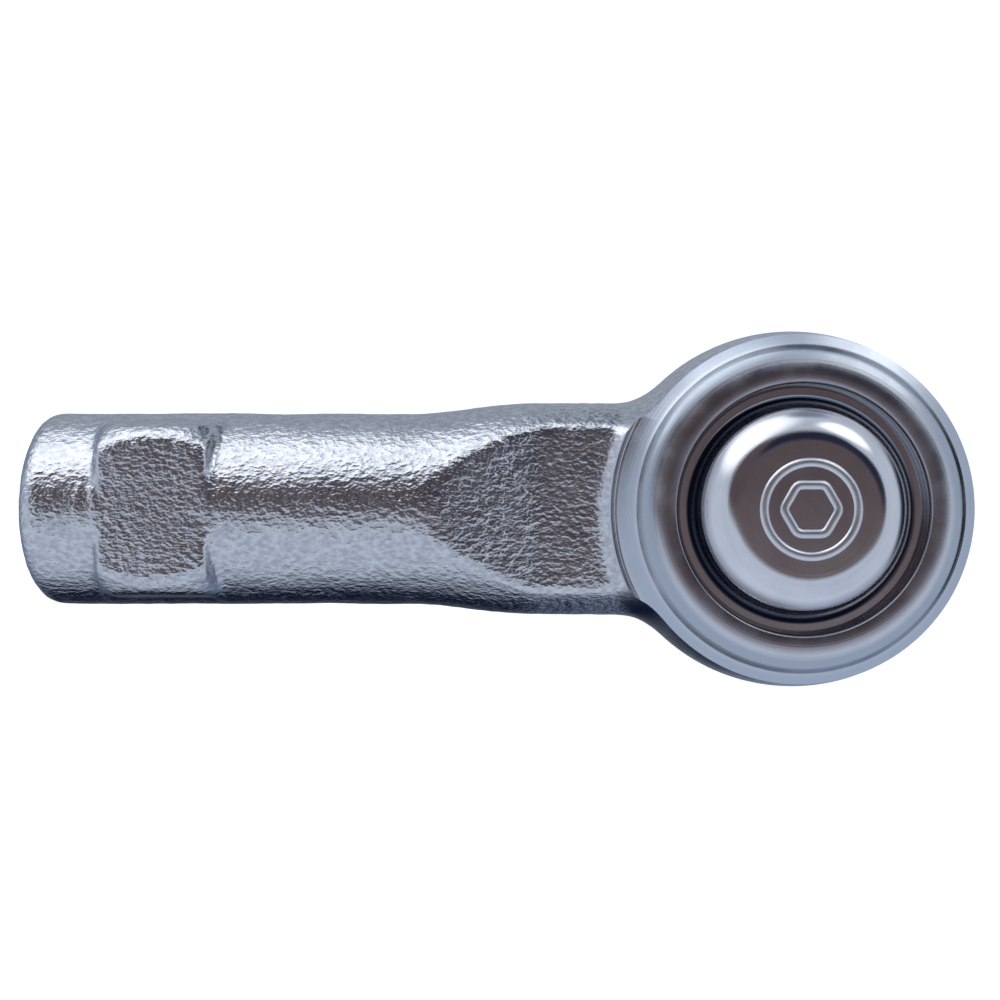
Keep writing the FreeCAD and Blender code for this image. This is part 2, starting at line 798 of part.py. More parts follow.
def boot_ring_small():
    return ring(
        SMALL_R - RING_SEAT_DEPTH + RING_WIRE_R + BOOT_GAP, SMALL_RING_Z, RING_WIRE_R
    )


def main():
    os.makedirs("parts", exist_ok=True)
    pieces = [
        housing,
        cover_plate,
        cover_seal_ring,
        preload_spring,
        upper_bearing_seat,
        lower_bearing_seat,
        ball_stud,
        castle_nut,
        cotter_pin,
        boot_collar_ring,
        dust_boot,
        boot_ring_large,
        boot_ring_small,
    ]
    for piece in pieces:
        export(piece(), piece.__name__)


main()
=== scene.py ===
"""Tie rod end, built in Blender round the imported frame. Lengths in this file are millimetres in the
part's own frame unless a name says otherwise; meshes are written in metres."""
import itertools
import json
import math

import bpy
import numpy as np
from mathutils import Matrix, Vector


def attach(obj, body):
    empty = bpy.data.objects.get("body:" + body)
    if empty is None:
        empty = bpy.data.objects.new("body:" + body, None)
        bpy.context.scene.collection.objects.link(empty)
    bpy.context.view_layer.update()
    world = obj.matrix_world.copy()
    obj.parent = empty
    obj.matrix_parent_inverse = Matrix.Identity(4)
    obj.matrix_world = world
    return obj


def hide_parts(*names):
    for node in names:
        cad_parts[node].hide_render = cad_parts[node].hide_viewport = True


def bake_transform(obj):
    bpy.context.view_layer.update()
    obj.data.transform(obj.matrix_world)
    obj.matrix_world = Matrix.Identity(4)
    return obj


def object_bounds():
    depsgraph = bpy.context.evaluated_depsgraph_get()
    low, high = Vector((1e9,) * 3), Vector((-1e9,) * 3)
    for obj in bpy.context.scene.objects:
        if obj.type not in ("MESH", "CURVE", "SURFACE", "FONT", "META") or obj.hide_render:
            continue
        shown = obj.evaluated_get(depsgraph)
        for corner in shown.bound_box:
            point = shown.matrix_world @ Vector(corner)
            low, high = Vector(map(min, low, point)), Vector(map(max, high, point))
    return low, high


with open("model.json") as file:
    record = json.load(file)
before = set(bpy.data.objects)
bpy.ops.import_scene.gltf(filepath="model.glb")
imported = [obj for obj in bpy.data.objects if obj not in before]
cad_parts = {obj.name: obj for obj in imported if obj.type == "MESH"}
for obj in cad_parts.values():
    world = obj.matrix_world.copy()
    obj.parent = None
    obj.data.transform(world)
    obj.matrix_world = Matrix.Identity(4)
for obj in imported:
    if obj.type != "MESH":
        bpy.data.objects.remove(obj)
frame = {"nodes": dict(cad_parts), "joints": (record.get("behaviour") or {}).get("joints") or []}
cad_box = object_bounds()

import openvdb
from mathutils import Vector

MM = 0.001
BALL_X = [j for j in frame["joints"] if j["name"] == "stud_spin"][0]["pos_m"][0] / MM
LOW, HIGH = (np.array(corner) / MM for corner in cad_box)

# Shank and the block of two wrench flats
SHANK_R = 10.0
MOUTH_BLEND = 2.0
BLOCK_MIDDLE = 13.25
BLOCK_HALF = 5.45
BLOCK_FLAT_Z = 10.0
BLOCK_FLAT_W = 7.2
BLOCK_BEVEL = 1.15          # fall of the bevel beside a flat, as width over height
BLOCK_ARCH = 1.3            # how much narrower a flat is at its ends
BLOCK_SIDE_W, BLOCK_SIDE_Z = 8.35, 8.9
BLOCK_SIDE_NORMAL = (4.64, 0.7)
BLOCK_WALL_DRAFT = 0.18
BLOCK_CORNER, BLOCK_EDGE, BLOCK_TOP_EDGE = 2.0, 0.6, 0.5
FOOT_BLEND_LEAST, FOOT_BLEND_MORE = 0.05, 0.6   # where the walls meet the bar
FOOT_BLEND_GROWS = (-0.6, 0.3)                  # over this distance past a wall's top edge

# Neck, with a ramp and a level flat on each side
NECK_START = 40.0
NECK_LEVEL = 51.5
NECK_FLAT_Z = 7.4
NECK_R = 11.07
NECK_WIDENS = (NECK_START - 2.0, NECK_LEVEL - 0.5)
NECK_FILLET_R = 21.0        # where the flat begins to rise to the head
NECK_FILLET_RISE = 0.15
RAMP_BLEND, FLAT_EDGE = 0.25, 0.45
BAR_END = 68.0

# Head as forged
HEAD_R = 18.42
HEAD_BLEND = 2.5
HEAD_RIM_R = 17.1
HEAD_RIM_Z = 8.55
BARREL_SCALE = 0.985        # keeps the slanted barrel's values close to distances
HEAD_LOW_R, HEAD_LOW_Z = 17.3, -7.2
HEAD_LOW_NORMAL = (2.0, -2.3)
HEAD_LOW_BLEND = 1.6
BLANK_TOP_Z, BLANK_LOW_Z = 10.5, -14.0
BLANK_BOSS_R, BLANK_BOSS_BLEND = 15.7, 1.2

# Level set and grain of the forging
VOXEL = 0.35
OUTSIDE = 10.0
STEPS_ONTO_FIELD = 4
LEAST_STEEPNESS = 0.3       # keeps a step short where the field is nearly level
CAD_INSET = 0.01            # how far the forging stays inside the CAD's box
GRAIN_SIZE, GRAIN_HEIGHT, GRAIN_SEED = 0.8, 0.017, 11
WAVE_SIZE, WAVE_HEIGHT, WAVE_SEED = 5.0, 0.045, 12
GRAIN_END_R = 19.3
GRAIN_FADE = (GRAIN_END_R - 0.4, GRAIN_END_R + 1.2)
GRAIN_ON_HEAD = 0.15
LATTICE_COUNT = 40

# Threads. Crest and flank are parts of a pitch.
SHANK_THREAD = {"minor": 6.19, "major": 7.0, "pitch": 1.5}
SHANK_THREAD_END, DRILL_POINT = 40.0, 3.2
SHANK_MOUTH_R, SHANK_MOUTH_FALL = SHANK_THREAD["major"] + 0.25, 1.2
STUD_THREAD = {"minor": 5.2, "major": 5.95, "pitch": 1.25}
HALF_CREST, FLANK = 0.07, 0.33
ROWS_PER_PITCH = 10

# Rounding of edges
TURNED_EDGE, STUD_EDGE, PRESSED_EDGE, NUT_EDGE = 0.2, 0.25, 0.06, 0.5
BEAD_EDGE, TAIL_EDGE = 0.12, 0.15

# Head and socket as turned, radius and height from the ball's centre
LATHE_R = 24.0
LATHE_TOP_Z, LATHE_LOW_Z = 15, -25
NECK_CUT_Z = 10.2
NECK_GROOVE_R, NECK_GROOVE_Z = 18.5, 7.4
LAND_OUTER_R, LAND_OUTER_Z = 18.2, 7.25
LAND_INNER_R, LAND_INNER_Z = 16.25, 8.05
LIP_FOOT_R, LIP_FOOT_Z = 15.75, 8.9
LIP_CREST_R, LIP_CREST_Z = 13.3, 9.6
LIP_ROUND, LIP_INNER_ROUND = 4.8, 3.5
LIP_OUTER_ANGLE, LIP_INNER_ANGLE = 62, 103
LIP_R = 12.3
COVER_POCKET_R = 14.3
COVER_LOW_Z, COVER_HIGH_Z = 6.5, 8.1
SEAL_POCKET_R, SEAL_POCKET_Z = 14.0, 5.5
SOCKET_R, SOCKET_FLOOR_Z = 13.0, -6.6
MOUTH_HIGH_R, MOUTH_LOW_R = 9.5, 12.7
BOSS_R, BOSS_END_Z = 15.1, -13.4
BEAD_GROOVE_R = 14.2
BEAD_GROOVE_HIGH_Z, BEAD_GROOVE_LOW_Z = -9.9, -12.3
LATHE_STOP_Z = -8.9

# Cover
COVER_R = 14.25
FLANGE_INNER_R = 9.0
DOME_FOOT = [(11.3, 8.08), (11.0, 8.0)]
DOME_FLAT_R = 6.4
DOME_ROUND = 4.2
DOME_ROUND_Z = 7.9
DOME_SIDE_R = 7.9
DOME_SIDE_ANGLES = (17, 35)
PLATE_T = 1.6
DOME_CROWN_Z = DOME_ROUND_Z + DOME_ROUND
EMBLEM_RING_R = 4.5
EMBLEM_HEX_R = 2.7
EMBLEM_CORNER = 0.5
EMBLEM_HALF_W, EMBLEM_HALF_H = 0.45, 0.25

# Stud, nut and split pin
BALL_R = 10.0
BALL_FLAT_Z = 7.8
STUD_NECK_R = 5.5
FLARE_H = 2.3
COLLAR_LAND_R = 7.4
COLLAR_LAND_HIGH_Z, COLLAR_LAND_LOW_Z = -20.5, -25.0
TAPER_HIGH_R, TAPER_LOW_R, TAPER_LOW_Z = 7.15, 6.15, -41.0
STUD_END_Z, STUD_CHAMFER = -60.5, 1.2
STUD_CENTRE_MARK = [(0, 0.35), (2.0, 0.1), (2.2, 0.0)]      # radius and height above the stud's end
PIN_Z = -56.8
PIN_HOLE_R, PIN_HOLE_CHAMFER, PIN_HOLE_REACH = 1.6, 0.6, 9.0
NUT_TOP_Z, HEX_LOW_Z, CROWN_LOW_Z = -44.0, -54.0, -59.0
NUT_FLAT_R = 9.5
NUT_CORNER_CUT = 0.12
NUT_BEVEL_DEPTHS = [0.0, 0.1, 0.25, 0.4, 0.6, 0.8, 1.0]
NUT_BEVEL_START, NUT_BEVEL_FALL = 0.15, 1.7
NUT_BORE_R = STUD_THREAD["major"] + 0.1
NUT_MOUTH_R, NUT_MOUTH_DEPTH = NUT_BORE_R - 0.85, 0.5
NUT_THREAD_MINOR = 5.3
CROWN_R = 8.5
SLOT_W, SLOT_DEPTH, SLOT_LOW, SLOT_ROUND = 3.5, 5.0, -8.0, 0.8
SLOT_ANGLES, SLOT_REACH = (30, 90, 150), 14
PIN_R, PIN_HALF_GAP = 1.4, 0.03
PIN_EYE_Y, PIN_EYE_R, PIN_EYE_LENGTH = -12.0, 1.3, 3.2
PIN_EYE_OPEN = 10.41        # degrees from the pin's middle plane to the start of the eye
PIN_BEND_Y, PIN_BEND_R = 10.6, 2.2
PIN_UP_Z, PIN_DOWN_Z = -51.0, -60.2

# Boot, radius and height from the ball's centre
BOOT_SPLIT_Z = -16.6
FOLD_OUTER_R, FOLD_INNER_R = 16.28, 14.45
BOOT_OUTER_LOW = [(15.6, -17.5), (13.8, -18.6), (12.0, -19.4), (11.0, -20.1), (10.3, -20.9)]
BOOT_OUTER_HIGH = [(16.68, -15.2), (16.6, -13.7), (16.25, -12.5)]
BOOT_INNER_LOW = [(8.7, -20.5), (9.6, -19.4), (11.3, -18.3), (13.2, -17.4)]
BOOT_INNER_HIGH = [(15.2, -12.7), (15.3, -13.7), (15.38, -15.1)]
BOOT_BEAD = [
    (16.2, -12.2), (16.2, -11.72), (15.7, -11.68), (15.7, -10.52), (16.2, -10.48), (16.2, -10.0),
    (14.26, -10.0), (14.26, -12.2), (15.16, -12.24),
]
BOOT_TAIL = [
    (8.66, -24.9), (11.6, -25.6), (11.6, -25.2), (10.3, -24.1), (10.3, -23.42), (9.8, -23.4),
    (9.8, -22.2), (10.3, -22.18), (10.3, -20.95),
]

FORGED_SMOOTH_DEGREES, NUT_SMOOTH_DEGREES = 38, 30
WIRE_SMOOTH_DEGREES, BOOT_SMOOTH_DEGREES = 50, 60

# The middle part of a noise texture's values, where nearly all of them lie
NOISE_RANGE = (0.3, 0.7)

# Forged and turned surfaces: colours, textures per mm, bumps in mm
FORGED_DARK, FORGED_LIGHT = (0.52, 0.52, 0.56), (0.72, 0.73, 0.75)
GRAINS_PER_MM, CLOUDS_PER_MM = 2.0, 0.3
GRAIN_BUMP_MM, HEAD_BUMP_MM = 0.135, 0.012
SPECKS_PER_MM, SPECK_BUMP_MM = 6.0, 0.003
RAISED_ROUGHNESS = 0.22

# Rings of painted light on the turned faces, darkening or tinting their colour by radius where shade
# or a reflection falls: radius, half width, colour
RING_CORE = 0.4             # the part of a ring's half width that has its full colour
# painted reflection: the brown of the dark opening above, as the flat lip crest mirrors it
CREST_PAINTED_REFLECTION = (13.0, 1.2, (0.42, 0.39, 0.42))
# painted shade in the gap just inside the lip, on the lip and on the cover's edge
GAP_PAINTED_SHADE = (12.1, 0.2, (0.3, 0.32, 0.36))
# painted shade, near black, in the crevice round the dome's foot
FOOT_PAINTED_SHADE = (10.82, 0.62, (0.06, 0.08, 0.13))
# painted shade, bluish grey, dimming the reflection on the land round the lip
LAND_PAINTED_SHADE = (17.2, 1.1, (0.52, 0.56, 0.63))
# painted shade, bluish grey, on the lip's outer slope and its groove
SLOPE_PAINTED_SHADE = (15.25, 0.85, (0.46, 0.5, 0.56))

# Plain surfaces: metallic, two colours, roughness, grains per mm, bump in mm
PLAIN_SURFACES = {
    "plated_nut": (1.0, (0.6, 0.6, 0.63), (0.75, 0.75, 0.78), 0.3, 3.0, 0.02),
    "pin_steel": (1.0, (0.5, 0.5, 0.5), (0.68, 0.67, 0.65), 0.3, 4.0, 0.02),
    "spring_steel": (1.0, (0.3, 0.3, 0.31), (0.5, 0.49, 0.48), 0.3, 4.0, 0.01),
    "boot_rubber": (0.0, (0.012, 0.012, 0.013), (0.03, 0.03, 0.031), 0.48, 2.5, 0.03),
    "seal_rubber": (0.0, (0.01, 0.01, 0.01), (0.025, 0.024, 0.023), 0.4, 4.0, 0.01),
    "bearing_plastic": (0.0, (0.55, 0.53, 0.47), (0.68, 0.66, 0.6), 0.4, 2.0, 0.01),
}

# CAD pieces shown as they are, with their surface
CAD_SURFACES = {
    "cover_seal_ring": "seal_rubber",
    "preload_spring": "spring_steel",
    "upper_bearing_seat": "bearing_plastic",
    "lower_bearing_seat": "bearing_plastic",
    "boot_collar_ring": "bearing_plastic",
    "boot_ring_large": "spring_steel",
    "boot_ring_small": "spring_steel",
}

# Light tent, near side -Y and far side +Y. A patch is azimuth, elevation, inner and outer degrees.
TENT_NEAR, TENT_FAR = (0.57, 0.645, 0.77), (0.56, 0.62, 0.72)
BELOW_NEAR_MOUTH, BELOW_NEAR_HEAD = (0.0, 0.004, 0.022), (0.19, 0.24, 0.35)
BELOW_FAR, BELOW_BEHIND_MOUTH = (0.4, 0.45, 0.53), (0.22, 0.28, 0.4)
TENT_PATCHES = [
    ((2, -24, 16, 36), (0.012, 0.016, 0.03)),
    ((116, 22, 14, 38), (1.5, 1.58, 1.7)),
    ((76, 3, 3, 16), (0.22, 0.27, 0.35)),
    ((70, -22, 8, 17), (0.06, 0.08, 0.12)),
    ((50, 31, 4, 18), (1.9, 1.95, 2.0)),
]
OPENING_NEAR, OPENING_FAR = (0.17, 0.143, 0.15), (0.108, 0.085, 0.093)
OPENING_PATCHES = [(60, 77, 17, 31), (0, 62, 2, 14), (130, 70, 14, 26)]
OPENING_RIM = (0.02, 0.025, 0.05)
OPENING_RIM_PATCHES = [(75, 66, 4, 12), (45, 62, 6, 14), (18, 56, 5, 13)]

# Camera and light table
EYE_MM = (47.3, 0.9, 124.6)
LENS_MM, SENSOR_MM = 42.48, 36.0
FLOOR_HALF, FLOOR_STEPS, FLOOR_DROP = 1500.0, 12, 0.2
FLOOR_COLOURS = (0.86, 0.86, 0.86), (0.9, 0.9, 0.9)
FLOOR_ROUGHNESS, FLOOR_GLOW = 0.9, 0.6


def smooth_max(a, b, blend):
    """The larger of two values, rounded where they are nearer than blend to each other."""
    meet = np.maximum(blend - np.abs(a - b), 0.0) / blend
    return np.maximum(a, b) + meet * meet * blend / 4


def smooth_min(a, b, blend):
    return -smooth_max(-a, -b, blend)


def smooth_step(value, low, high):
    """0 up to low, 1 from high on, and an even curve between."""
    t = np.clip((value - low) / (high - low), 0.0, 1.0)
    return t * t * (3 - 2 * t)


def plane(a, b, edge_a, normal):
    """Signed distance from a line in the (a, b) plane, through edge_a with that outward normal."""
    length = math.hypot(*normal)
    return ((a - edge_a[0]) * normal[0] + (b - edge_a[1]) * normal[1]) / length


def bar_field(x, y, z):
    """Shank and neck: a round bar, a little wider near the head, with flats cut down in a ramp."""
    side = np.hypot(y, z) - SHANK_R - (NECK_R - SHANK_R) * smooth_step(x, *NECK_WIDENS)
    slope = (SHANK_R - NECK_FLAT_Z) / (NECK_LEVEL - NECK_START)
    inclined = plane(x, np.abs(z), (NECK_START, SHANK_R), (slope, 1.0))
    near_head = np.maximum(NECK_FILLET_R - np.hypot(x - BALL_X, y), 0.0)
    level = np.abs(z) - NECK_FLAT_Z - NECK_FILLET_RISE * near_head**2
    flats = smooth_min(inclined, level, RAMP_BLEND)
    body = smooth_max(side, flats, FLAT_EDGE)
    body = np.maximum(body, x - BAR_END)
    return smooth_max(body, -x, MOUTH_BLEND)


def block_field(x, y, z):
    """The block of two wrench flats, with arched bevels, drafted sides and leaning end walls."""
    along = np.abs(x - BLOCK_MIDDLE)
    wide, tall = np.abs(y), np.abs(z)
    arch = BLOCK_ARCH * (along / BLOCK_HALF) ** 2
    flat = tall - BLOCK_FLAT_Z
    bevel = plane(wide + arch, tall, (BLOCK_FLAT_W, BLOCK_FLAT_Z), (1.0, BLOCK_BEVEL))
    side = plane(wide, tall, (BLOCK_SIDE_W, BLOCK_SIDE_Z), BLOCK_SIDE_NORMAL)
    wall = plane(along, tall, (BLOCK_HALF, BLOCK_FLAT_Z), (1.0, BLOCK_WALL_DRAFT))
    top = smooth_max(flat, bevel, BLOCK_TOP_EDGE)
    return smooth_max(smooth_max(side, wall, BLOCK_CORNER), top, BLOCK_EDGE)


def head_field(x, y, z):
    """The forged head: a barrel drafted from its parting plane, a cone and a boss below."""
    r = np.hypot(x - BALL_X, y)
    barrel = r - HEAD_R + (HEAD_R - HEAD_RIM_R) * (z / HEAD_RIM_Z) ** 2
    cone = plane(r, z, (HEAD_LOW_R, HEAD_LOW_Z), HEAD_LOW_NORMAL)
    boss = r - BLANK_BOSS_R
    low = smooth_min(cone, boss, BLANK_BOSS_BLEND)
    body = smooth_max(barrel * BARREL_SCALE, low, HEAD_LOW_BLEND)
    return np.maximum(np.maximum(body, z - BLANK_TOP_Z), BLANK_LOW_Z - z)


def gradient(field, x, y, z, reach=0.05):
    """Direction in which a field grows, as three arrays, and how steeply it grows."""
    parts = [
        field(x + reach, y, z) - field(x - reach, y, z),
        field(x, y + reach, z) - field(x, y - reach, z),
        field(x, y, z + reach) - field(x, y, z - reach),
    ]
    length = np.sqrt(sum(p * p for p in parts)) + 1e-9
    return [p / length for p in parts], length / (2 * reach)


def blank_field(x, y, z):
    """About the distance to the whole forging before it is machined, negative inside it."""
    bar = bar_field(x, y, z)
    block = block_field(x, y, z)
    past_wall = np.abs(x - BLOCK_MIDDLE) - BLOCK_HALF
    foot_blend = FOOT_BLEND_LEAST + FOOT_BLEND_MORE * smooth_step(past_wall, *FOOT_BLEND_GROWS)
    bar = smooth_min(bar, block, foot_blend)
    return smooth_min(bar, head_field(x, y, z), HEAD_BLEND)


def mesh_from(name, co_mm, faces):
    """A new object in the scene from points in millimetres and faces."""
    mesh = bpy.data.meshes.new(name)
    mesh.from_pydata((co_mm * MM).tolist(), [], faces)
    mesh.update()
    piece = bpy.data.objects.new(name, mesh)
    bpy.context.collection.objects.link(piece)
    return piece


def forged_blank():
    """The forging as a dense mesh: a level set turned to quads, then moved onto the field."""
    margin = 4 * VOXEL
    low = np.array([LOW[0], LOW[1], BLANK_LOW_Z - 0.5]) - margin
    high = np.array([HIGH[0], HIGH[1], BLANK_TOP_Z + 0.5]) + margin
    axes = [np.arange(a, b, VOXEL, dtype=np.float32) for a, b in zip(low, high)]
    x, y, z = np.meshgrid(*axes, indexing="ij")
    grid = openvdb.FloatGrid()
    grid.background = OUTSIDE
    grid.copyFromArray(blank_field(x, y, z).astype(np.float32))
    points, quads = grid.convertToQuads(isovalue=0.0)
    co = np.array(points, float) * VOXEL + low
    for _ in range(STEPS_ONTO_FIELD):
        xyz = co.T
        direction, steep = gradient(blank_field, *xyz)
        move = blank_field(*xyz) / np.maximum(steep, LEAST_STEEPNESS)
        co -= np.clip(move, -VOXEL, VOXEL)[:, None] * np.array(direction).T
    co = np.clip(roughened(co), LOW + CAD_INSET, HIGH - CAD_INSET)
    return mesh_from("forging", co, quads.tolist())


def lattice_noise(points, size, seed):
    """Smooth random heights about 0 from a seeded lattice with that spacing."""
    count = LATTICE_COUNT
    lattice = np.random.default_rng(seed).standard_normal((count, count, count))
    cell = np.floor(points / size).astype(int)
    part = points / size - cell
    part = part * part * (3 - 2 * part)
    total = np.zeros(len(points))
    for corner in itertools.product((0, 1), repeat=3):
        weight = np.prod(np.where(corner, part, 1 - part), axis=1)
        i, j, k = ((cell + corner) % count).T
        total += weight * lattice[i, j, k]
    return total


def roughened(co):
    """The forging's points with scale and die marks, fading out on the head."""
    direction, _ = gradient(blank_field, *co.T)
    from_ball = np.hypot(co[:, 0] - BALL_X, co[:, 1])
    grain = GRAIN_ON_HEAD + (1 - GRAIN_ON_HEAD) * smooth_step(from_ball, *GRAIN_FADE)
    height = GRAIN_HEIGHT * lattice_noise(co, GRAIN_SIZE, GRAIN_SEED) * grain
    height += WAVE_HEIGHT * lattice_noise(co, WAVE_SIZE, WAVE_SEED) * grain
    return co + height[:, None] * np.array(direction).T


def turned(name, rows, closed=False, segments=192, base=(BALL_X, 0.0, 0.0), axis="z"):
    """Rows of (radius, height) turned about an axis, bottom to top on the outer side. A radius may
    be an array with a value for each angle. Radius 0 is a pole. closed joins the last row to the
    first."""
    angles = np.linspace(0, 2 * np.pi, segments, endpoint=False)
    rings, co = [], []
    for radius, height in rows:
        if np.max(radius) < 1e-6:
            rings.append([len(co)] * segments)
            co.append((0.0, 0.0, height))
            continue
        rings.append(list(range(len(co), len(co) + segments)))
        radius = np.broadcast_to(radius, segments)
        co += list(zip(radius * np.cos(angles), radius * np.sin(angles), [height] * segments))
    faces = []
    pairs = list(zip(rings, rings[1:]))
    if closed:
        pairs.append((rings[-1], rings[0]))
    for lower, upper in pairs:
        for i in range(segments):
            j = (i + 1) % segments
            face = list(dict.fromkeys([lower[i], lower[j], upper[j], upper[i]]))
            if len(face) > 2:
                faces.append(face)
    co = np.array(co, float)
    if axis == "x":
        co = co[:, [2, 0, 1]]
    return mesh_from(name, co + np.array(base), faces)


def arc(centre, radius, start, end, steps):
    """Points on an arc in the outline's plane, angles in degrees."""
    angles = np.radians(np.linspace(start, end, steps + 1))
    return [(centre[0] + radius * math.cos(t), centre[1] + radius * math.sin(t)) for t in angles]


def softened(points, radius, steps=3, closed=False):
    """An outline with every corner cut back by radius and rounded."""
    pts = [Vector(p) for p in points]
    out = []
    count = len(pts)
    for i, here in enumerate(pts):
        if not closed and i in (0, count - 1):
            out.append(tuple(here))
            continue
        before, after = pts[i - 1] - here, pts[(i + 1) % count] - here
        back = min(radius, before.length * 0.45, after.length * 0.45)
        start, end = here + before.normalized() * back, here + after.normalized() * back
        for t in np.linspace(0, 1, steps + 1):
            out.append(tuple(start * (1 - t) ** 2 + here * 2 * t * (1 - t) + end * t * t))
    return out


def smoothed(points, steps=6):
    """A smooth curve through the points."""
    pts = np.array([points[0], *points, points[-1]], float)
    out = []
    for a, b, c, d in zip(pts, pts[1:], pts[2:], pts[3:]):
        for t in np.linspace(0, 1, steps, endpoint=False):
            bend = a - 2.5 * b + 2 * c - 0.5 * d
            twist = 1.5 * (b - c) + 0.5 * (d - a)
            out.append(tuple(b + 0.5 * t * (c - a) + t**2 * bend + t**3 * twist))
    return out + [tuple(points[-1])]


def unit_rows(vectors):
    """Every row of an array scaled to length 1."""
    return vectors / np.linalg.norm(vectors, axis=1)[:, None]


def swept(name, path, section, normal, closed=False):
    """A section carried along a path in a plane. Its points are (right of the path, along normal)."""
    path = np.array(path, float)
    normal = np.array(normal, float)
    ahead = np.roll(path, -1, axis=0) - path
    behind = path - np.roll(path, 1, axis=0)
    if not closed:
        ahead[-1], behind[0] = behind[-1], ahead[0]
    along = unit_rows(ahead) + unit_rows(behind)
    right = np.cross(unit_rows(along), normal)
    stretch = 1 / np.maximum(np.linalg.norm(along, axis=1) / 2, 0.5)
    around = len(section)
    co = [p + r * k * a + normal * b for p, r, k in zip(path, right, stretch) for a, b in section]
    faces = []
    count = len(path)
    for i in range(count if closed else count - 1):
        lower, upper = i * around, (i + 1) % count * around
        for a in range(around):
            b = (a + 1) % around
            faces.append([lower + a, upper + a, upper + b, lower + b])
    if not closed:
        faces.append(list(range(around)))
        faces.append(list(range(len(co) - around, len(co)))[::-1])
    return mesh_from(name, np.array(co), faces)


def cut(piece, cutters, operation="DIFFERENCE", transfer=False):
    """Takes the cutters out of the piece for good, or joins them to it."""
    for cutter in cutters:
        modifier = piece.modifiers.new("cut", "BOOLEAN")
        modifier.operation = operation
        modifier.solver = "MANIFOLD"
        modifier.material_mode = "TRANSFER" if transfer else "INDEX"
        modifier.object = cutter
    graph = bpy.context.evaluated_depsgraph_get()
    piece.data = bpy.data.meshes.new_from_object(piece.evaluated_get(graph))
    piece.modifiers.clear()
    for cutter in cutters:
        bpy.data.objects.remove(cutter)


def finished(piece, body, replaced, material=None, smooth_degrees=FORGED_SMOOTH_DEGREES):
    """Shades a piece, gives it a material unless it has its own, and ties it to the CAD."""
    piece.data.shade_smooth()
    piece.data.set_sharp_from_angle(angle=math.radians(smooth_degrees))
    if material:
        piece.data.materials.clear()
        piece.data.materials.append(material)
    if body:
        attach(piece, body)
    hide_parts(replaced)
    return piece


def thread_radius(height, angle, minor, major, pitch):
    """Radius of a 60 degree screw thread."""
    phase = height / pitch - angle / (2 * np.pi)
    away = np.abs((phase + 0.5) % 1.0 - 0.5)
    return minor + (major - minor) * (1 - np.clip((away - HALF_CREST) / FLANK, 0, 1))


def thread_rows(start, end, thread, limit, segments, inside=False):
    """Rows of a thread between two heights. An outside thread stays within limit(height). An inside
    thread is at least as wide as limit(height), and fades out before end."""
    angles = np.linspace(0, 2 * np.pi, segments, endpoint=False)
    count = int(abs(end - start) / thread["pitch"] * ROWS_PER_PITCH)
    rows = []
    for height in np.linspace(start, end, count):
        radius = thread_radius(height, angles, **thread)
        if inside:
            fade = smooth_step(abs(end - height), 0.2, 1.5 * thread["pitch"])
            radius = thread["minor"] + (radius - thread["minor"]) * fade
            radius = np.maximum(radius, limit(height))
        else:
            radius = np.minimum(radius, limit(height))
        rows.append((radius, height))
    return rows


def lathe_cutter():
    """All that the lathe takes off the head: above the rim, in the socket and round the boss."""
    rim = [
        (LATHE_R, NECK_CUT_Z), (NECK_GROOVE_R + 0.15, 8.0), (NECK_GROOVE_R, NECK_GROOVE_Z),
        (LAND_OUTER_R, LAND_OUTER_Z), (LAND_INNER_R, LAND_INNER_Z), (LIP_FOOT_R, LIP_FOOT_Z),
    ]
    lip = arc((LIP_CREST_R, LIP_CREST_Z - LIP_ROUND), LIP_ROUND, LIP_OUTER_ANGLE, 90, 10)
    inner = (LIP_CREST_R, LIP_CREST_Z - LIP_INNER_ROUND)
    lip += arc(inner, LIP_INNER_ROUND, 90, LIP_INNER_ANGLE, 5)[1:]
    lip += [(LIP_R + 0.1, 9.4), (LIP_R, 9.2), (LIP_R, 9.0)]
    inside = [
        (LIP_R, COVER_HIGH_Z), (COVER_POCKET_R, COVER_HIGH_Z), (COVER_POCKET_R, COVER_LOW_Z),
        (SEAL_POCKET_R, COVER_LOW_Z), (SEAL_POCKET_R, SEAL_POCKET_Z), (SOCKET_R, SEAL_POCKET_Z),
        (SOCKET_R, SOCKET_FLOOR_Z), (MOUTH_HIGH_R, SOCKET_FLOOR_Z), (MOUTH_LOW_R, BOSS_END_Z),
    ]
    boss = [
        (BOSS_R - 0.4, BOSS_END_Z), (BOSS_R, BOSS_END_Z + 0.4), (BOSS_R, BEAD_GROOVE_LOW_Z),
        (BEAD_GROOVE_R, BEAD_GROOVE_LOW_Z), (BEAD_GROOVE_R, BEAD_GROOVE_HIGH_Z),
        (BOSS_R, BEAD_GROOVE_HIGH_Z), (BOSS_R, LATHE_STOP_Z - 0.4), (BOSS_R + 0.5, LATHE_STOP_Z),
        (LATHE_R, LATHE_STOP_Z),
    ]
    outline = [(0, LATHE_TOP_Z), (LATHE_R, LATHE_TOP_Z)] + softened(rim, TURNED_EDGE)
    outline += softened(lip, PRESSED_EDGE) + inside + softened(boss, TURNED_EDGE)
    outline += [(LATHE_R, LATHE_LOW_Z), (0, LATHE_LOW_Z)]
    return turned("lathe_cutter", outline[::-1], segments=320)


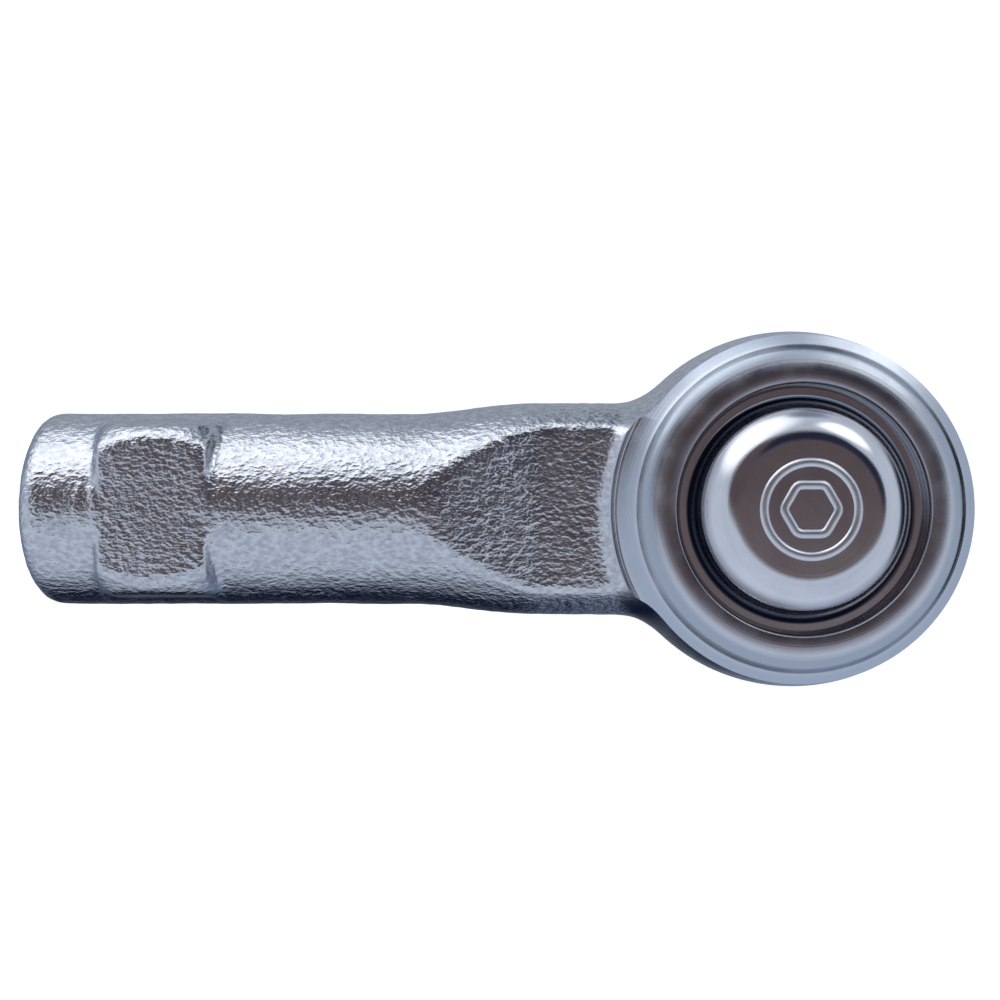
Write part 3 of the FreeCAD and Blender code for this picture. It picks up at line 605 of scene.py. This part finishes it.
def thread_cutter():
    """The shank's tapped hole: countersink, thread and drill point, as one solid."""
    start, end = -1.0, SHANK_THREAD_END - 1.5
    segments = 96

    def countersink(height):
        return SHANK_MOUTH_R - max(height, 0.0) * SHANK_MOUTH_FALL

    drill_point = [(SHANK_THREAD["minor"], SHANK_THREAD_END), (0, SHANK_THREAD_END + DRILL_POINT)]
    thread = thread_rows(start, end, SHANK_THREAD, countersink, segments, inside=True)
    rows = [(0, start)] + thread + drill_point
    return turned("thread_cutter", rows, segments=segments, base=(0.0, 0.0, 0.0), axis="x")


def housing(forged, machined):
    """The forging, turned and threaded. What a cutter leaves takes the cutter's material."""
    piece = forged_blank()
    piece.data.materials.append(forged)
    cutters = [lathe_cutter(), thread_cutter()]
    for cutter in cutters:
        cutter.data.materials.append(machined)
    cut(piece, cutters, transfer=True)
    return finished(piece, "housing", "housing")


def hexagon_path(radius, z):
    """A hexagon with rounded corners at one height above the ball's centre."""
    corners = [
        (radius * math.cos(math.radians(60 * i)), radius * math.sin(math.radians(60 * i)))
        for i in range(6)
    ]
    return [(BALL_X + x, y, z) for x, y in softened(corners, EMBLEM_CORNER, closed=True)]


def dome_outline():
    """Outside of the dome from foot to flat: a tapered side, a round shoulder and a slight crown."""
    low_angle, high_angle = DOME_SIDE_ANGLES
    inward = DOME_SIDE_R - DOME_ROUND
    turn = math.radians(high_angle)
    side_centre = (DOME_FLAT_R - inward * math.cos(turn), DOME_ROUND_Z - inward * math.sin(turn))
    side = arc(side_centre, DOME_SIDE_R, low_angle, high_angle, 12)
    shoulder = arc((DOME_FLAT_R, DOME_ROUND_Z), DOME_ROUND, high_angle, 88, 24)[1:]
    flat = [(DOME_FLAT_R - 0.4, 0.0), (4.0, 0.03), (2.0, 0.05), (0, 0.06)]
    return side + shoulder + [(radius, DOME_CROWN_Z + rise) for radius, rise in flat]


def emblem_lines():
    """A plain raised ring with a hexagon in it, as two closed lines of oval section."""
    turns = np.linspace(0, 2 * np.pi, 20, endpoint=False)
    line = [(EMBLEM_HALF_W * math.cos(t), EMBLEM_HALF_H * math.sin(t)) for t in turns]
    circle = [
        (BALL_X + EMBLEM_RING_R * math.cos(t), EMBLEM_RING_R * math.sin(t), DOME_CROWN_Z - 0.05)
        for t in np.linspace(0, 2 * np.pi, 96, endpoint=False)
    ]
    hexagon = hexagon_path(EMBLEM_HEX_R, DOME_CROWN_Z - 0.02)
    return [
        swept("emblem_ring", circle, line, (0, 0, 1), closed=True),
        swept("emblem_hexagon", hexagon, line, (0, 0, 1), closed=True),
    ]


def cover(material):
    """Pressed plate held under the lip, with a domed middle and a plain raised ring and hexagon."""
    inside = [(0, DOME_CROWN_Z - PLATE_T)]
    inside += arc((DOME_FLAT_R, DOME_ROUND_Z), DOME_ROUND - PLATE_T, 90, 0, 12)
    flange = [(FLANGE_INNER_R, COVER_LOW_Z), (COVER_R, COVER_LOW_Z), (COVER_R, COVER_HIGH_Z)]
    foot = softened([(LIP_R, COVER_HIGH_Z - 0.04)] + DOME_FOOT, PRESSED_EDGE)
    piece = turned("cover", inside + flange + foot + dome_outline(), segments=256)
    cut(piece, emblem_lines(), "UNION")
    return finished(piece, "housing", "cover_plate", material)


def pin_drill():
    """Cutter for the split pin's hole across the stud, chamfered at both ends."""
    major = STUD_THREAD["major"]
    wide = PIN_HOLE_R + PIN_HOLE_CHAMFER
    rows = [
        (0, -PIN_HOLE_REACH), (wide, -PIN_HOLE_REACH), (wide, -major), (PIN_HOLE_R, 0.5 - major),
        (PIN_HOLE_R, major - 0.5), (wide, major), (wide, PIN_HOLE_REACH), (0, PIN_HOLE_REACH),
    ]
    drill = turned("drill", rows, segments=48, base=(0.0, 0.0, 0.0))
    along_y = np.array([v.co for v in drill.data.vertices])[:, [1, 2, 0]]
    along_y += np.array((BALL_X, 0.0, PIN_Z)) * MM
    drill.data.vertices.foreach_set("co", along_y.ravel())
    return drill


def ball_stud(material):
    """Ball, neck, flare, boot land, taper, thread and the split pin's hole."""
    segments = 144
    major = STUD_THREAD["major"]

    def chamfer(height):
        return major - STUD_CHAMFER + max(height - STUD_END_Z, 0.0)

    neck_z = -math.sqrt(BALL_R**2 - STUD_NECK_R**2)
    neck_angle = math.degrees(math.atan2(neck_z, STUD_NECK_R))
    top_angle = math.degrees(math.asin(BALL_FLAT_Z / BALL_R))
    shaft = [
        (major - 0.35, TAPER_LOW_Z + 0.3), (TAPER_LOW_R, TAPER_LOW_Z + 0.5),
        (TAPER_HIGH_R, COLLAR_LAND_LOW_Z), (COLLAR_LAND_R, COLLAR_LAND_LOW_Z + 0.1),
        (COLLAR_LAND_R, COLLAR_LAND_HIGH_Z), (STUD_NECK_R + 0.2, COLLAR_LAND_HIGH_Z + FLARE_H),
        (STUD_NECK_R, neck_z),
    ]
    rows = [(radius, STUD_END_Z + rise) for radius, rise in STUD_CENTRE_MARK]
    rows += thread_rows(STUD_END_Z, TAPER_LOW_Z, STUD_THREAD, chamfer, segments)
    rows += softened(shaft, STUD_EDGE)
    rows += arc((0, 0), BALL_R, neck_angle, top_angle, 40)[1:]
    rows += [(0, BALL_FLAT_Z)]
    piece = turned("stud", rows, segments=segments)
    cut(piece, [pin_drill()])
    return finished(piece, "stud", "ball_stud", material)


def nut_outline(segments):
    """Outside of the nut from the crown's end up: crown, hexagon and the two turned bevels."""
    from_flat = np.abs(np.linspace(0, 360, segments, endpoint=False) % 60 - 30)
    corner = NUT_FLAT_R / math.cos(math.radians(30)) - NUT_CORNER_CUT
    hexagon = np.minimum(NUT_FLAT_R / np.cos(np.radians(from_flat)), corner)
    crown = [(NUT_BORE_R, CROWN_LOW_Z), (CROWN_R, CROWN_LOW_Z), (CROWN_R, HEX_LOW_Z)]
    bevel = [
        (np.minimum(hexagon, NUT_FLAT_R - NUT_BEVEL_START + NUT_BEVEL_FALL * depth), depth)
        for depth in NUT_BEVEL_DEPTHS
    ]
    rows = softened(crown, NUT_EDGE)
    rows += [(radius, HEX_LOW_Z + depth) for radius, depth in bevel]
    rows += [(radius, NUT_TOP_Z - depth) for radius, depth in reversed(bevel)]
    return rows


def crown_slots():
    """Cutters for the three slots that cross the crown."""
    half = SLOT_W / 2
    section = [(half, SLOT_DEPTH), (-half, SLOT_DEPTH), (-half, SLOT_LOW), (half, SLOT_LOW)]
    section = softened(section, SLOT_ROUND, closed=True)
    middle = np.array((BALL_X, 0.0, HEX_LOW_Z - SLOT_DEPTH))
    slots = []
    for turn in np.radians(SLOT_ANGLES):
        reach = SLOT_REACH * np.array((math.cos(turn), math.sin(turn), 0.0))
        slots.append(swept("slot", [middle - reach, middle + reach], section, (0, 0, 1)))
    return slots


def castle_nut(material):
    """Hexagon with turned bevels, slotted crown and a real thread."""
    segments = 240

    def mouth(height):
        from_end = min(height - CROWN_LOW_Z, NUT_TOP_Z - height)
        return NUT_MOUTH_R + max(0.0, NUT_MOUTH_DEPTH - from_end)

    inner = {"minor": NUT_THREAD_MINOR, "major": NUT_BORE_R, "pitch": STUD_THREAD["pitch"]}
    rows = nut_outline(segments)
    rows += thread_rows(NUT_TOP_Z, CROWN_LOW_Z + 0.01, inner, mouth, segments, inside=True)
    piece = turned("nut", rows, closed=True, segments=segments)
    cut(piece, crown_slots())
    return finished(piece, "stud", "castle_nut", material, NUT_SMOOTH_DEGREES)


def split_pin(material):
    """A half-round wire folded to an eye, with its ends bent up and down beside the nut."""
    high, low = PIN_Z + PIN_HALF_GAP, PIN_Z - PIN_HALF_GAP
    up = arc((PIN_BEND_Y, high + PIN_BEND_R), PIN_BEND_R, 0, -90, 8)
    eye = arc((PIN_EYE_Y, PIN_Z), PIN_EYE_R, PIN_EYE_OPEN, 360 - PIN_EYE_OPEN, 28)
    down = arc((PIN_BEND_Y, low - PIN_BEND_R), PIN_BEND_R, 90, 0, 8)
    legs_y, ends_y = PIN_EYE_Y + PIN_EYE_LENGTH, PIN_BEND_Y + PIN_BEND_R
    outline = [(ends_y, PIN_UP_Z)] + up + [(legs_y, high)] + eye
    outline += [(legs_y, low)] + down + [(ends_y, PIN_DOWN_Z)]
    path = [(BALL_X, y, z) for y, z in outline]
    half_round = [(PIN_R * math.sin(t), PIN_R * math.cos(t)) for t in np.linspace(0, np.pi, 11)]
    piece = swept("split_pin", path, half_round, (1, 0, 0))
    return finished(piece, "stud", "cotter_pin", material, WIRE_SMOOTH_DEGREES)


def boot_outlines():
    """The boot's big half and small half as closed outlines, meeting at BOOT_SPLIT_Z."""
    outer_low = smoothed([(FOLD_OUTER_R, BOOT_SPLIT_Z)] + BOOT_OUTER_LOW)
    outer_high = smoothed([(FOLD_OUTER_R, BOOT_SPLIT_Z)] + BOOT_OUTER_HIGH)
    inner_low = smoothed(BOOT_INNER_LOW + [(FOLD_INNER_R, BOOT_SPLIT_Z)])
    inner_high = smoothed(BOOT_INNER_HIGH + [(FOLD_INNER_R, BOOT_SPLIT_Z)])
    big = outer_high + softened(BOOT_BEAD, BEAD_EDGE) + inner_high
    small = softened(BOOT_TAIL, TAIL_EDGE) + outer_low[::-1] + inner_low[::-1]
    return big, small


def boot(material):
    """The rubber boot in two halves."""
    big, small = boot_outlines()
    upper = turned("boot_upper", big, closed=True, segments=160)
    lower = turned("boot_lower", small, closed=True, segments=160)
    for piece in (upper, lower):
        finished(piece, None, "dust_boot", material, BOOT_SMOOTH_DEGREES)
    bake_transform(upper)
    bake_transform(lower)


def add(tree, kind, inputs=None, **settings):
    """Adds a node, with its settings and its inputs' values or links."""
    node = tree.nodes.new(kind)
    for key, value in settings.items():
        setattr(node, key, value)
    for key, value in (inputs or {}).items():
        if isinstance(value, bpy.types.NodeSocket):
            tree.links.new(value, node.inputs[key])
        else:
            node.inputs[key].default_value = value
    return node


def from_ball(tree):
    """Object coordinates in millimetres from the ball's centre."""
    place = add(tree, "ShaderNodeTexCoord").outputs["Object"]
    inputs = {"Vector": place, "Location": (-BALL_X, 0, 0), "Scale": (1 / MM, 1 / MM, 1 / MM)}
    return add(tree, "ShaderNodeMapping", inputs).outputs[0]


def distance_from_axis(tree, place):
    """Distance from the upright axis through the ball's centre."""
    level = {0: place, 1: (1, 1, 0)}
    flat = add(tree, "ShaderNodeVectorMath", level, operation="MULTIPLY").outputs[0]
    return add(tree, "ShaderNodeVectorMath", {0: flat}, operation="LENGTH").outputs["Value"]


def noise(tree, place, per_mm, detail=3.0, roughness=0.55):
    inputs = {"Vector": place, "Scale": per_mm, "Detail": detail, "Roughness": roughness}
    return add(tree, "ShaderNodeTexNoise", inputs).outputs["Fac"]


def turned_lines(tree, place, per_mm):
    """Noise that is the same all round the ball's axis, as a lathe tool leaves it."""
    height = add(tree, "ShaderNodeSeparateXYZ", {0: place}).outputs[2]
    radius = distance_from_axis(tree, place)
    section = add(tree, "ShaderNodeCombineXYZ", {0: radius, 1: height}).outputs[0]
    return noise(tree, section, per_mm)


def math_node(tree, operation, a, b):
    return add(tree, "ShaderNodeMath", {0: a, 1: b}, operation=operation).outputs[0]


def remap(tree, value, from_low, from_high, to_low, to_high):
    """A value carried from one range to another and kept within it."""
    inputs = {"Value": value, 1: from_low, 2: from_high, 3: to_low, 4: to_high}
    return add(tree, "ShaderNodeMapRange", inputs).outputs[0]


def mixed(tree, factor, low, high):
    """A colour between two, by a factor. Each is a colour or a link."""
    node = add(tree, "ShaderNodeMix", data_type="RGBA")
    for socket, value in ((node.inputs[0], factor), (node.inputs[6], low), (node.inputs[7], high)):
        if isinstance(value, bpy.types.NodeSocket):
            tree.links.new(value, socket)
        else:
            socket.default_value = value if isinstance(value, float) else (*value, 1)
    return node.outputs[2]


def bumped(tree, height, distance_mm, normal=None):
    """A bump of that many millimetres, laid over another bump where one is given."""
    inputs = {"Height": height, "Distance": distance_mm * MM, "Strength": 1.0}
    if normal is not None:
        inputs["Normal"] = normal
    return add(tree, "ShaderNodeBump", inputs).outputs[0]


def surface(name, metallic):
    """A new material: its node tree and its shader."""
    material = bpy.data.materials.new(name)
    material.use_nodes = True
    shader = material.node_tree.nodes["Principled BSDF"]
    shader.inputs["Metallic"].default_value = metallic
    return material, material.node_tree, shader


def connect(tree, shader, **sockets):
    """Links values to the shader's colour, roughness and normal."""
    names = {"colour": "Base Color", "roughness": "Roughness", "normal": "Normal"}
    for key, value in sockets.items():
        tree.links.new(value, shader.inputs[names[key]])


def forged_zinc():
    """Zinc over forging grain: fine pits and grains on the bar, smoother on the head."""
    material, tree, shader = surface("forged_zinc", 1.0)
    place = from_ball(tree)
    radius = distance_from_axis(tree, place)
    on_bar = remap(tree, radius, *GRAIN_FADE, 0.05, 1.0)
    stretch = {0: place, 1: (0.75, 1, 1)}
    along_bar = add(tree, "ShaderNodeVectorMath", stretch, operation="MULTIPLY").outputs[0]
    grain = noise(tree, along_bar, GRAINS_PER_MM, detail=1.6, roughness=0.6)
    patches = noise(tree, place, CLOUDS_PER_MM)
    light = remap(tree, grain, 0.35, 0.65, 0, 1)
    colour = mixed(tree, light, FORGED_DARK, FORGED_LIGHT)
    height = math_node(tree, "MULTIPLY", grain, on_bar)
    clouded = remap(tree, patches, *NOISE_RANGE, 0.14, 0.22)
    rough = math_node(tree, "ADD", clouded, remap(tree, grain, *NOISE_RANGE, 0.05, 0.0))
    smooth = bumped(tree, turned_lines(tree, place, 4.0), HEAD_BUMP_MM)
    pitted = bumped(tree, height, GRAIN_BUMP_MM, smooth)
    connect(tree, shader, colour=colour, roughness=rough, normal=pitted)
    return material


def turned_metal(name, line_mm, rough, dark, light, per_mm=5.0, rings=(), raised_z=None):
    """Metal with a tool's fine rings round the ball's axis. Rings of painted shade and painted
    reflection are given as (radius, half width, colour). What stands above raised_z is rougher."""
    material, tree, shader = surface(name, 1.0)
    place = from_ball(tree)
    lines = turned_lines(tree, place, per_mm)
    broad = turned_lines(tree, place, per_mm / 6)
    cloud = noise(tree, place, CLOUDS_PER_MM, detail=4.0)
    by_ring = remap(tree, broad, *NOISE_RANGE, -0.1, 0.6)
    by_cloud = remap(tree, cloud, *NOISE_RANGE, -0.1, 0.5)
    colour = mixed(tree, math_node(tree, "ADD", by_ring, by_cloud), dark, light)
    radius = distance_from_axis(tree, place)
    # each ring paints shade or a reflection into the colour by radius
    for middle, half, painted_light_colour in rings:
        away = math_node(tree, "ABSOLUTE", math_node(tree, "SUBTRACT", radius, middle), 0.0)
        in_ring = remap(tree, away, half, half * RING_CORE, 0, 1)
        colour = mixed(tree, in_ring, colour, painted_light_colour)
    roughness = remap(tree, cloud, *NOISE_RANGE, rough * 0.75, rough * 1.35)
    if raised_z:
        height = add(tree, "ShaderNodeSeparateXYZ", {0: place}).outputs[2]
        worn = remap(tree, height, raised_z, raised_z + 0.05, 0.0, RAISED_ROUGHNESS)
        roughness = math_node(tree, "ADD", roughness, worn)
    specks = bumped(tree, noise(tree, place, SPECKS_PER_MM, detail=2.0), SPECK_BUMP_MM)
    scored = bumped(tree, lines, line_mm, specks)
    connect(tree, shader, colour=colour, roughness=roughness, normal=scored)
    return material


def plain_surface(name, metallic, low, high, rough, per_mm, bump_mm):
    """A surface with clouded colour and roughness and a fine bump."""
    material, tree, shader = surface(name, metallic)
    place = from_ball(tree)
    cloud = noise(tree, place, per_mm / 8, detail=4.0)
    fine = noise(tree, place, per_mm)
    colour = mixed(tree, remap(tree, cloud, *NOISE_RANGE, 0, 1), low, high)
    roughness = remap(tree, fine, *NOISE_RANGE, rough * 0.8, rough * 1.2)
    connect(tree, shader, colour=colour, roughness=roughness, normal=bumped(tree, fine, bump_mm))
    return material


def build():
    """Makes every material and piece, and gives the carried-over CAD pieces their surfaces."""
    plain = {name: plain_surface(name, *look) for name, look in PLAIN_SURFACES.items()}
    machined = turned_metal(
        "machined_zinc", line_mm=0.012, rough=0.24, dark=(0.58, 0.59, 0.63), light=(0.76, 0.77, 0.8),
        rings=[CREST_PAINTED_REFLECTION, GAP_PAINTED_SHADE, LAND_PAINTED_SHADE, SLOPE_PAINTED_SHADE],
    )
    pressed = turned_metal(
        "pressed_zinc", line_mm=0.006, rough=0.09, dark=(0.66, 0.66, 0.69), light=(0.8, 0.8, 0.83),
        per_mm=3.0, rings=[GAP_PAINTED_SHADE, FOOT_PAINTED_SHADE], raised_z=DOME_CROWN_Z + 0.08,
    )
    ground = turned_metal(
        "ground_steel", line_mm=0.01, rough=0.18, dark=(0.5, 0.5, 0.5), light=(0.62, 0.61, 0.6),
        per_mm=8.0,
    )
    housing(forged_zinc(), machined)
    cover(pressed)
    ball_stud(ground)
    castle_nut(plain["plated_nut"])
    split_pin(plain["pin_steel"])
    boot(plain["boot_rubber"])
    for node, name in CAD_SURFACES.items():
        slots = frame["nodes"][node].data.materials
        slots.clear()
        slots.append(plain[name])


def floor():
    """A pale light table a little below the stud's end."""
    places = np.linspace(-FLOOR_HALF, FLOOR_HALF, FLOOR_STEPS + 1)
    x, y = np.meshgrid(places, places, indexing="ij")
    co = np.stack([x, y, np.full_like(x, LOW[2] - FLOOR_DROP)], -1).reshape(-1, 3)
    row = FLOOR_STEPS + 1
    starts = [i * row + j for i in range(FLOOR_STEPS) for j in range(FLOOR_STEPS)]
    faces = [[start, start + row, start + row + 1, start + 1] for start in starts]
    piece = mesh_from("floor", co, faces)
    material, tree, shader = surface("floor_paper", 0.0)
    fibre = noise(tree, from_ball(tree), 0.2)
    connect(tree, shader, colour=mixed(tree, fibre, *FLOOR_COLOURS))
    shader.inputs["Roughness"].default_value = FLOOR_ROUGHNESS
    shader.inputs["Emission Color"].default_value = (1, 1, 1, 1)
    shader.inputs["Emission Strength"].default_value = FLOOR_GLOW
    piece.data.materials.append(material)
    piece.visible_glossy = False


def patch(tree, direction, azimuth, elevation, inner, outer):
    """1 within inner degrees of a direction of the tent, falling to 0 at outer degrees."""
    a, e = math.radians(azimuth), math.radians(elevation)
    towards = (math.cos(a) * math.cos(e), math.sin(a) * math.cos(e), math.sin(e))
    inputs = {0: direction, 1: towards}
    dot = add(tree, "ShaderNodeVectorMath", inputs, operation="DOT_PRODUCT").outputs["Value"]
    limits = {"Value": dot, 1: math.cos(math.radians(outer)), 2: math.cos(math.radians(inner))}
    return add(tree, "ShaderNodeMapRange", limits, interpolation_type="SMOOTHSTEP").outputs[0]


def tent_light(tree):
    """Colour of the light tent by direction: pale all round, dark below, and open at the top."""
    direction = add(tree, "ShaderNodeTexCoord").outputs["Generated"]
    x, y, z = add(tree, "ShaderNodeSeparateXYZ", {0: direction}).outputs
    across = remap(tree, y, -0.6, 0.5, 0, 1)
    towards_head = remap(tree, x, -0.02, 0.22, 0, 1)
    behind_mouth = remap(tree, x, -0.4, -0.95, 0, 1)
    below = mixed(tree, towards_head, BELOW_NEAR_MOUTH, BELOW_NEAR_HEAD)
    below = mixed(tree, across, below, BELOW_FAR)
    below = mixed(tree, behind_mouth, below, BELOW_BEHIND_MOUTH)
    around = mixed(tree, across, TENT_NEAR, TENT_FAR)
    light = mixed(tree, remap(tree, z, -0.44, 0.25, 0, 1), below, around)
    opening = mixed(tree, remap(tree, y, -0.15, 0.05, 0, 1), OPENING_NEAR, OPENING_FAR)
    layers = TENT_PATCHES + [(place, opening) for place in OPENING_PATCHES]
    layers += [(place, OPENING_RIM) for place in OPENING_RIM_PATCHES]
    for place, colour in layers:
        light = mixed(tree, patch(tree, direction, *place), light, colour)
    return light


def studio():
    """Soft light all round from a tent that is open where the camera looks in."""
    world = bpy.data.worlds.new("studio")
    bpy.context.scene.world = world
    world.use_nodes = True
    tree = world.node_tree
    background = tree.nodes["Background"]
    tree.links.new(tent_light(tree), background.inputs["Color"])
    backdrop = add(tree, "ShaderNodeBackground", {"Color": (1, 1, 1, 1), "Strength": 1.0})
    seen = add(tree, "ShaderNodeLightPath").outputs["Is Camera Ray"]
    either = {0: seen, 1: background.outputs[0], 2: backdrop.outputs[0]}
    shown = add(tree, "ShaderNodeMixShader", either)
    tree.links.new(shown.outputs[0], tree.nodes["World Output"].inputs["Surface"])
    bpy.context.scene.view_settings.view_transform = "Standard"


def camera():
    """Straight above the cover side, as near as a hand-held picture was taken."""
    data = bpy.data.cameras.new("camera")
    data.lens = LENS_MM
    data.sensor_width = SENSOR_MM
    data.clip_start = 0.005
    data.clip_end = 20.0
    eye = bpy.data.objects.new("camera", data)
    eye.location = [length * MM for length in EYE_MM]
    bpy.context.collection.objects.link(eye)
    bpy.context.scene.camera = eye


build()
floor()
studio()
camera()
